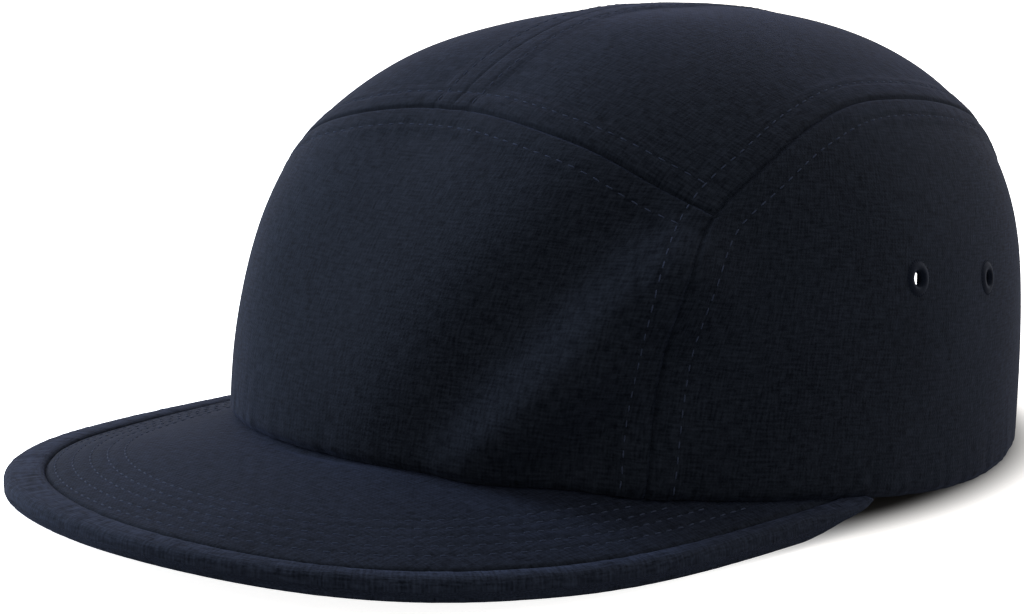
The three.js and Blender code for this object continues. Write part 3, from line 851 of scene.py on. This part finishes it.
def side_of(points, places, line):
    """Signed distance from a line on the crown: above zero on the left of its direction."""
    squares = ((points[:, None] - line[None]) ** 2).sum(-1)
    i = squares.argmin(1)
    across = np.cross(crown_normal(places), unit(np.gradient(line, axis=0)))
    return ((points - line[i]) * across[i]).sum(-1)


def in_arch(places, margin):
    turn = np.degrees(np.arctan2(np.abs(places[:, 0]), places[:, 1]))
    across = turn / (math.degrees(opening_angle) + margin)
    return across**2 + (places[:, 2] / (opening_height / crown_height + margin / 60)) ** 2 < 1


def row_of(places, keep):
    return crown_point(at(places[keep], np.linspace(0, 1, line_points)))


# %% Sew the seams
# A row stops a little before another seam, the rim or the opening. These are those distances.
stop_at_row, stop_at_rim, stop_at_seam, stop_at_arch = 0.6, 0.8, 0.9, 1.2
front_rows, side_rows, centre_rows = [], [], []
for offset in (-row_offset, row_offset):
    places = beside(lengthened(seam_places["front"], 16, 16), offset)
    left, right = (
        side_of(plain_crown(places), seam_places[name], seam_lines[name])
        for name in ("side_left", "side_right")
    )
    limit = row_offset - stop_at_row
    front_rows.append(row_of(places, (left > limit) & (right < -limit)))
for name in ("side_left", "side_right"):
    for offset in (-row_offset, row_offset):
        places = beside(lengthened(seam_places[name], 0, 12), offset)
        points = plain_crown(places)
        above = points[:, 2] - rim_height(*points[:, :2].T)
        side_rows.append(row_of(places, ~in_arch(places, stop_at_arch) & (above > stop_at_rim)))
for offset in (-row_offset, row_offset):
    places = beside(lengthened(seam_places["centre"], 14, 10), offset)
    ahead = side_of(plain_crown(places), seam_places["front"], seam_lines["front"])
    centre_rows.append(row_of(places, (ahead > stop_at_seam) & ~in_arch(places, stop_at_arch)))
sew_rows("stitching_front_seam", front_rows)
sew_rows("stitching_side_seams", side_rows)
sew_rows("stitching_centre_seam", centre_rows)

# %% [markdown]
# ## The brim
# The brim is a stiff board covered in the same cotton. Rows of stitching run round it at even
# distances from its edge and quilt the cloth to the board, which shows as shallow valleys. The
# bound edge is wider at the wearer's right of the tip than elsewhere, and the cover reaches a
# little way under it.

# %% Lay out the brim's band and board
brim_rows = [10.2, 13.7, 17.2, 20.7, 24.2]
row_valley, row_spread, groove_depth, groove_spread = 0.12, 0.7, 0.9, 0.6
rim_dent, rim_dent_spread, wave_on_board = 0.5, 1.6, 0.8
widest_at, widest_spread, tail_blend, tail_band, tail_past = -45, 60, 16, 5.0, 1.6
cover_room, cover_under = 3.5, 0.25
edge_run = along_line(edge_line)
covered = edge_room > cover_room
cover_run = edge_run[covered]
inside_run = np.minimum(edge_run - cover_run[0], cover_run[-1] - edge_run)
wider = hump((edge_line[:, 0] - widest_at) / widest_spread)
band = binding_seen + (binding_tip - binding_seen) * wider
at_tail = 1 - smooth(0, tail_blend, inside_run)
band = band + (np.minimum(edge_room + tail_past, tail_band) - band) * at_tail
board_edge = (edge_line + edge_in * (band - cover_under)[:, None])[covered]
cover_end = (edge_line + edge_in * edge_room[:, None])[covered][-1]
end_angle = math.atan2(cover_end[0] / crown_width, -cover_end[1] / (2 * crown_front))


def inset_rim_point(angle, inset):
    step = 0.001
    along = unit(rim_point(angle + step) - rim_point(angle - step))
    return rim_point(angle) + np.stack([-along[..., 1], along[..., 0]], -1) * inset


inner_angles = np.linspace(-end_angle, end_angle, len(board_edge))
board_inner = inset_rim_point(inner_angles, cloth_thickness + brim_tuck)
near_edge, coarse_rows = 0.03, 76
edge_shares = np.linspace(0, near_edge, 5)[:-1], np.linspace(near_edge, 1, coarse_rows)
shares = 1 - np.concatenate(edge_shares)[::-1]
plan = board_inner[None] + (board_edge - board_inner)[None] * shares[:, None, None]
print("bound edge, mm:", round(band.min(), 1), "to", round(band.max(), 1), "wide")


# %% Cover the brim's board
def raised_by(plan, height):
    return np.concatenate([plan, height[..., None]], -1)


flat_edge = raised_by(edge_line, np.zeros(edge_stations))
from_edge, at_run, _ = near_seam(raised_by(plan, np.zeros(plan.shape[:2])), flat_edge)


def brim_relief(distance, run, points):
    groove_at = np.interp(run, edge_run, band)
    height = -groove_depth * hump((distance - groove_at - 0.1) / groove_spread)
    for row in brim_rows:
        height = height - row_valley * hump((distance - row) / row_spread)
    rim = rim_point(np.arctan2(points[..., 0], -points[..., 1]))
    from_rim = np.linalg.norm(points[..., :2] - rim, axis=-1)
    dent = rim_dent * hump(from_rim / rim_dent_spread)
    return height + wave_on_board * wave_height(points) - dent


brim_points = raised_by(plan, brim_top(plan[..., 0], plan[..., 1]))
quilted = brim_relief(from_edge, at_run, brim_points)
brim_upper, brim_under = brim_points.copy(), brim_points.copy()
brim_upper[..., 2] += quilted
brim_under[..., 2] -= brim_thickness + 0.5 * quilted
brim = wall("brim_cloth_cover", brim_upper, brim_under, plan)
finish_piece(brim, brim_cotton, ["brim"])

# %% Quilt the brim
quilting = []
for row in brim_rows:
    line = edge_line + edge_in * row
    clear_run = edge_run[outside_crown(line, stop_at_rim)]
    run = at(clear_run[:, None], np.linspace(0, 1, line_points))[:, 0]
    line = np.stack([np.interp(run, edge_run, c) for c in line.T], -1)
    points = raised_by(line, brim_top(line[:, 0], line[:, 1]))
    points[:, 2] += brim_relief(np.full(len(points), row), run, points)
    quilting.append((points, np.tile([0.0, 0.0, 1.0], (len(points), 1))))
sew_rows("stitching_brim", quilting)

# %% [markdown]
# A strip of the same cotton is turned over the board's edge. It makes a firm roll with a crisp
# groove inside it, and the strip is cut on the bias, so it wrinkles slightly across its length.

# %% Make a closed skin through rings
def loft(name, loops, flat):
    """A closed skin through rings of points, with its two ends filled."""
    count, size = loops.shape[:2]
    index = np.arange(count * size).reshape(count, size)
    a, b = index[:-1], np.roll(index, -1, axis=1)[:-1]
    c, d = np.roll(index, -1, axis=1)[1:], index[1:]
    quads = np.stack([a, b, c, d], -1).reshape(-1, 4)
    points = loops.reshape(-1, 3)
    middle = len(points)
    points = np.concatenate([points, loops[[0, -1]].mean(1)])
    first, last = index[0], index[-1]
    caps = [(middle, first[(i + 1) % size], first[i]) for i in range(size)]
    caps += [(middle + 1, last[i], last[(i + 1) % size]) for i in range(size)]
    faces = [tuple(q) for q in quads] + caps
    p, q, r = (points[quads[:, k]] for k in range(3))
    if (np.cross(q - p, r - p) * (p - points.mean(0))).sum() < 0:
        faces = [face[::-1] for face in faces]
    flat = np.concatenate([flat.reshape(-1, 2), flat[[0, -1]].mean(1)])
    return mesh_piece(name, points, faces, flat)


# %% Roll the binding round the edge
# The roll thins towards its two ends, and its section is a circle squared off by a power.
thins_from, thins_to, thinned_share = -44, -19, 0.9
roll_power, roll_points, roll_raised, roll_girth = 0.55, 28, 0.35, 2.6
wrinkle_height, wrinkle_pitch, wrinkle_slant, wrinkle_patch = 0.1, 1.6, 1.8, 9
past_root = smooth(thins_from, thins_to, edge_line[:, 1])
thickness = (binding_thickness * (1 - thinned_share * past_root))[:, None]
section = np.linspace(0, 2 * np.pi, roll_points, endpoint=False)
section_across = 0.5 - 0.5 * signed_power(np.cos(section), roll_power)
section_up = 0.5 + 0.5 * signed_power(np.sin(section), roll_power)
edge_column = edge_run[:, None]
wrinkle = ripple(edge_column * wrinkle_pitch + section * wrinkle_slant, 4)
wrinkle = wrinkle * np.sin(edge_column / wrinkle_patch + 1) * wrinkle_height
across = section_across * band[:, None] - wrinkle * np.cos(section) * 0.8
roll_plan = edge_line[:, None] + edge_in[:, None] * np.clip(across, 0, None)[..., None]
roll_top = brim_top(roll_plan[..., 0], roll_plan[..., 1]) + binding_proud
groove_plan = edge_line + edge_in * band[:, None]
level = brim_top(groove_plan[:, 0], groove_plan[:, 1])[:, None] - roll_top
raised = (roll_raised + 0.8 * np.maximum(level, 0)) * (1 - past_root[:, None])
roll_z = roll_top - thickness + (thickness + raised) * section_up
roll_z = roll_z + wrinkle * np.clip(np.sin(section), 0, 1)
roll = raised_by(roll_plan, roll_z)
roll_flat = np.stack(np.broadcast_arrays(edge_column, section * roll_girth), -1)
binding = loft("brim_binding_roll", roll, roll_flat)
finish_piece(binding, binding_cotton, ["brim_binding"], 180)

# %% [markdown]
# ## The eyelets
# A worked eyelet is a small hole bound with buttonhole thread: turns of thread lie side by side
# round it and cover its edge. One turn is a thin ring, stood on edge and made oval, and it is
# copied round the hole. The thread is pulled tight at the hole, so the crest of the outer face is
# moved in, close to the hole.

# %% Work one eyelet
eyelet_width, eyelet_hole, eyelet_crest, turns = 9.0, 2.9, 2.1, 32
twist_radius, twist_inset, core_inset, mid_cloth = 0.32, 0.2, 0.25, -cloth_thickness / 2
turn_radius = (eyelet_width - eyelet_hole) / 4
ring_middle = eyelet_hole / 2 + turn_radius
bpy.ops.object.select_all(action="DESELECT")
bpy.ops.mesh.primitive_torus_add(
    align="WORLD", location=(0, 0, 0), rotation=(math.pi / 2, 0, 0), major_segments=14,
    minor_segments=5, major_radius=(turn_radius - twist_inset) * mm, minor_radius=twist_radius * mm,
)
worked = bpy.context.object
bpy.ops.object.transform_apply(location=True, rotation=True, scale=True)
bpy.ops.object.mode_set(mode="EDIT")
bpy.ops.mesh.select_all(action="SELECT")
height_share = (cloth_thickness / 2 + 0.1) / (turn_radius - twist_inset)
bpy.ops.transform.resize(value=(1, 1, height_share), center_override=(0, 0, 0))
bpy.ops.transform.translate(value=(ring_middle * mm, 0, mid_cloth * mm))
last_turn = 2 * math.pi * (turns - 1) / turns
bpy.ops.mesh.spin(steps=turns - 1, dupli=True, angle=last_turn, center=(0, 0, 0), axis=(0, 0, 1))
bpy.ops.object.mode_set(mode="OBJECT")
bpy.ops.mesh.primitive_torus_add(
    align="WORLD", location=(0, 0, mid_cloth * mm), rotation=(0, 0, 0), major_segments=32,
    minor_segments=10, major_radius=ring_middle * mm, minor_radius=(turn_radius - core_inset) * mm,
)
worked.select_set(True)
bpy.context.view_layer.objects.active = worked
bpy.ops.object.join()
low_edge, high_edge = eyelet_hole / 2 - 0.2, eyelet_width / 2 + 0.2
for vertex in worked.data.vertices:
    reach = math.hypot(vertex.co.x, vertex.co.y) / mm
    proud = vertex.co.z / mm - mid_cloth
    crest = np.interp(proud, (-0.4, 0.4), (ring_middle + 0.3, eyelet_crest))
    moved = np.interp(reach, (low_edge, ring_middle, high_edge), (low_edge, crest, high_edge))
    vertex.co.x, vertex.co.y = vertex.co.x * moved / reach, vertex.co.y * moved / reach
print("one eyelet has", len(worked.data.polygons), "faces")

# %% Set an eyelet in each hole
for name, (point, normal) in eyelet_frames.items():
    eyelet = worked.copy()
    eyelet.data = worked.data.copy()
    eyelet.name = f"{name}_thread"
    bpy.context.collection.objects.link(eyelet)
    turn = Vector(normal).to_track_quat("Z", "Y").to_matrix().to_4x4()
    eyelet.data.transform(Matrix.Translation(Vector((point + shift) * mm)) @ turn)
    finish_piece(eyelet, twist, [name], 180)
bpy.data.objects.remove(worked)

# %% [markdown]
# ## The strap and its slide
# A doubled cotton tape comes from each side of the opening, turns round one bar of a moulded slide
# and is sewn to itself. Nothing of it shows in the photograph, so it is plain.

# %% Bend the two straps
strap_width, strap_thickness, strap_lift, strap_sewn, strap_fold = 16.0, 1.6, 3.2, 16.0, 12.0
slide_width, slide_bar, slide_thickness, slide_clearance = 20.0, 2.2, 2.0, 0.6
strap_depth = cloth_thickness + seam_gap + strap_thickness / 2
loop_radius = math.hypot(slide_bar, slide_thickness) / 2 + seam_gap + strap_thickness / 2
angles = np.linspace(0, opening_angle, 2001)
bar_line = inset_rim_point(np.pi - angles, strap_depth + loop_radius)
bar_angle = angles[np.argmax(bar_line[:, 0] > (slide_width - slide_bar) / 2)]
bar = inset_rim_point(np.pi - bar_angle, strap_depth + loop_radius)

run_in = np.linspace(opening_angle + strap_sewn / crown_back, bar_angle, 40)
path = [inset_rim_point(np.pi - run_in, strap_depth)]
arm = path[0][-1] - bar
for share in np.linspace(0, 1, 18)[1:-1]:
    c, s = math.cos(math.pi * share), math.sin(math.pi * share)
    path.append((bar + [arm[0] * c - arm[1] * s, arm[0] * s + arm[1] * c])[None])
fold_back = bar_angle - np.linspace(0, strap_fold / crown_back, 14)
path.append(inset_rim_point(np.pi - fold_back, strap_depth + 2 * loop_radius))
path = at(np.concatenate(path), np.linspace(0, 1, 120))
print("strap, mm:", round(along_line(path)[-1], 1), "slide bar at", bar.round(1))

section = np.linspace(0, 2 * np.pi, 24, endpoint=False)
half_thick = (strap_thickness - 0.2) / 2 * signed_power(np.cos(section), 0.5)
half_wide = strap_width / 2 * signed_power(np.sin(section), 0.16)
path_along = unit(np.gradient(path, axis=0))
path_out = np.stack([-path_along[:, 1], path_along[:, 0]], -1)
ring_plan = path[:, None] + path_out[:, None] * half_thick[:, None]
tape = raised_by(ring_plan, np.broadcast_to(half_wide, ring_plan.shape[:2]))
tape[..., 2] += strap_lift + strap_width / 2
tape_flat = np.stack(np.broadcast_arrays(along_line(path)[:, None], half_wide + half_thick), -1)
for side_name, side in wearer_sides.items():
    strap = loft(f"strap_{side_name}_tape", mirrored(tape, side), tape_flat)
    finish_piece(strap, tape_cotton, [f"strap_{side_name}"], 60)

# %% [markdown]
# The slide is moulded in one piece: a flat frame with a bar down its middle. A plate is cut with
# four lines by bisect, the two slots are taken out, and the plate is then given its thickness and
# soft edges.

# %% Mould the slide
slot_height = strap_width + 2 * slide_clearance
slide_height = slot_height + 2 * slide_bar
slide_centre = Vector((0, bar[1] + shift[1], strap_lift + strap_width / 2)) * mm
bpy.ops.object.select_all(action="DESELECT")
bpy.ops.mesh.primitive_plane_add(size=1, location=slide_centre, rotation=(math.pi / 2, 0, 0))
slide = bpy.context.object
slide.scale = (slide_width * mm, slide_height * mm, 1)
bpy.ops.object.transform_apply(location=True, rotation=True, scale=True)
bpy.ops.object.mode_set(mode="EDIT")
for axis, places in (
    (0, (-slide_width / 2 + slide_bar, -slide_bar / 2, slide_bar / 2, slide_width / 2 - slide_bar)),
    (2, (-slot_height / 2, slot_height / 2)),
):
    for offset in places:
        cut = slide_centre.copy()
        cut[axis] += offset * mm
        way = [0, 0, 0]
        way[axis] = 1
        bpy.ops.mesh.select_all(action="SELECT")
        bpy.ops.mesh.bisect(plane_co=cut, plane_no=way)
bpy.ops.mesh.select_all(action="DESELECT")
bpy.ops.object.mode_set(mode="OBJECT")
for face in slide.data.polygons:
    x, z = (face.center - slide_centre)[0] / mm, (face.center - slide_centre)[2] / mm
    face.select = slide_bar / 2 < abs(x) < slide_width / 2 - slide_bar and abs(z) < slot_height / 2
bpy.ops.object.mode_set(mode="EDIT")
bpy.ops.mesh.delete(type="FACE")
bpy.ops.object.mode_set(mode="OBJECT")
soft_edge = {"width": 0.5 * mm, "segments": 3}
soft_edge.update(limit_method="ANGLE", angle_limit=math.radians(40))
for kind, name, settings in (
    ("SOLIDIFY", "thickness", {"thickness": slide_thickness * mm, "offset": 0}),
    ("BEVEL", "soft edges", soft_edge),
):
    modifier = slide.modifiers.new(name, kind)
    for key, value in settings.items():
        setattr(modifier, key, value)
    bpy.ops.object.modifier_apply(modifier=name)
slide.name = "slide_moulded"
finish_piece(slide, acetal, ["slide"], 40)

# %% [markdown]
# ## The studio
# The cap stands on a white paper sweep. Two soft lights stand at the left of the picture, a low one
# and a high one, which leave the side panel dark, and a weak one behind lights the back of the top.
# The paper glows for the camera, so that it shows as plain white, and the cap's shadow is painted
# on it: a soft dark oval under the crown, near black and without glow. The camera looks down a
# little, from the front left of the wearer.

# %% Lay the floor
bpy.ops.object.select_all(action="DESELECT")
bpy.ops.mesh.primitive_plane_add(size=8, location=(0, 0, -0.0002))
floor = bpy.context.object
floor.name = "white_sweep"
glowing = {"Emission Color": linear("#ffffff")}
sweep, tree, surface = new_material("white paper sweep, matt, with painted shadow", 0.9, glowing)
seen = add(tree, "LightPath").outputs["Is Camera Ray"]
on_floor = add(tree, "TexCoord").outputs["Object"]
# Painted shadow: in an oval round the crown's middle the paper's colour goes near black and its
# glow is turned off.
crown_middle = (0, shift[1] * mm, 0)
from_middle = add(tree, "VectorMath", {0: on_floor, 1: crown_middle}, operation="SUBTRACT")
to_painted_shadow_oval = (2 / (crown_width * mm), 2 / ((crown_front + crown_back) * mm), 0)
from_middle = add(tree, "VectorMath", {0: from_middle, 1: to_painted_shadow_oval}, operation="MULTIPLY")
painted_shadow_distance = add(tree, "VectorMath", {0: from_middle}, operation="LENGTH").outputs["Value"]
shadow_edge = {"Value": painted_shadow_distance, "From Min": 0.93, "From Max": 1.2}
outside_painted_shadow = add(tree, "MapRange", shadow_edge, interpolation_type="SMOOTHSTEP")
paper_with_painted_shadow = {"Factor": outside_painted_shadow, "A": linear("#101010"), "B": linear("#f2f2f2")}
paper_with_painted_shadow = add(tree, "Mix", paper_with_painted_shadow, data_type="RGBA").outputs["Result"]
paper = {"Factor": seen, "A": linear("#bcbcbc"), "B": paper_with_painted_shadow}
link(tree, add(tree, "Mix", paper, data_type="RGBA"), surface, "Base Color", "Result")
glow_outside_painted_shadow = add(tree, "Math", {0: outside_painted_shadow, 1: 0.9}, operation="MULTIPLY")
glow = add(tree, "Math", {0: seen, 1: glow_outside_painted_shadow}, operation="MULTIPLY")
link(tree, glow, surface, "Emission Strength")
floor.data.materials.append(sweep)
print("dark oval under the cap, mm:", crown_width, "by", crown_front + crown_back)

# %% Place the camera
camera_turn, camera_rise, camera_distance = math.radians(44.98), math.radians(10.17), 480.0
aim_right, aim_up, view_width, sensor_width = -28.101, 30.398, 237.9, 36
right = np.array([math.cos(camera_turn), math.sin(camera_turn), 0])
level = math.cos(camera_rise)
back = np.array([right[1] * level, -right[0] * level, math.sin(camera_rise)])
up = np.cross(back, right)
eye = (right * aim_right + up * aim_up + back * camera_distance + shift) * mm
lens = bpy.data.cameras.new("camera")
lens.sensor_width = sensor_width
lens.lens = sensor_width * camera_distance / view_width
lens.clip_start = 0.01
camera = bpy.data.objects.new("camera", lens)
bpy.context.collection.objects.link(camera)
facing = Matrix([right, up, back]).transposed().to_4x4()
camera.matrix_world = Matrix.Translation(Vector(eye)) @ facing
bpy.context.scene.camera = camera
print("camera at, mm:", (eye / mm).round(1), "lens", round(lens.lens, 1))

# %% Set the lights and the walls
light_width, light_aim = 0.8, Vector((0, 0, 0.04))
for name, place, power, colour in (
    ("low_key", (-1.6, -0.62, 0.5), 32, "#d4e6ff"),
    ("high_key", (-1.1, -0.3, 1.4), 19, "#d4e6ff"),
    ("rim", (0.5, 1.6, 0.45), 7, "#e6f0ff"),
):
    data = bpy.data.lights.new(name, "AREA")
    data.size, data.energy, data.color = light_width, power, linear(colour)[:3]
    light = bpy.data.objects.new(name, data)
    bpy.context.collection.objects.link(light)
    light.location = place
    light.rotation_euler = (light_aim - Vector(place)).to_track_quat("-Z", "Y").to_euler()
    print("light", name, "at", place, "with", power, "watts")
world = bpy.data.worlds.new("white studio")
bpy.context.scene.world = world
world.use_nodes = True
tree = world.node_tree
tree.nodes.clear()
seen = add(tree, "LightPath").outputs["Is Camera Ray"]
strength = add(tree, "MapRange", {"Value": seen, "To Min": 1.15, "To Max": 1.0})
wall_colours = {"Factor": seen, "A": linear("#fff8f0"), "B": linear("#ffffff")}
walls = add(tree, "Mix", wall_colours, data_type="RGBA").outputs["Result"]
background = add(tree, "Background", {"Color": walls, "Strength": strength})
add(tree, "OutputWorld", {"Surface": background})
bpy.context.scene.view_settings.view_transform = "Standard"
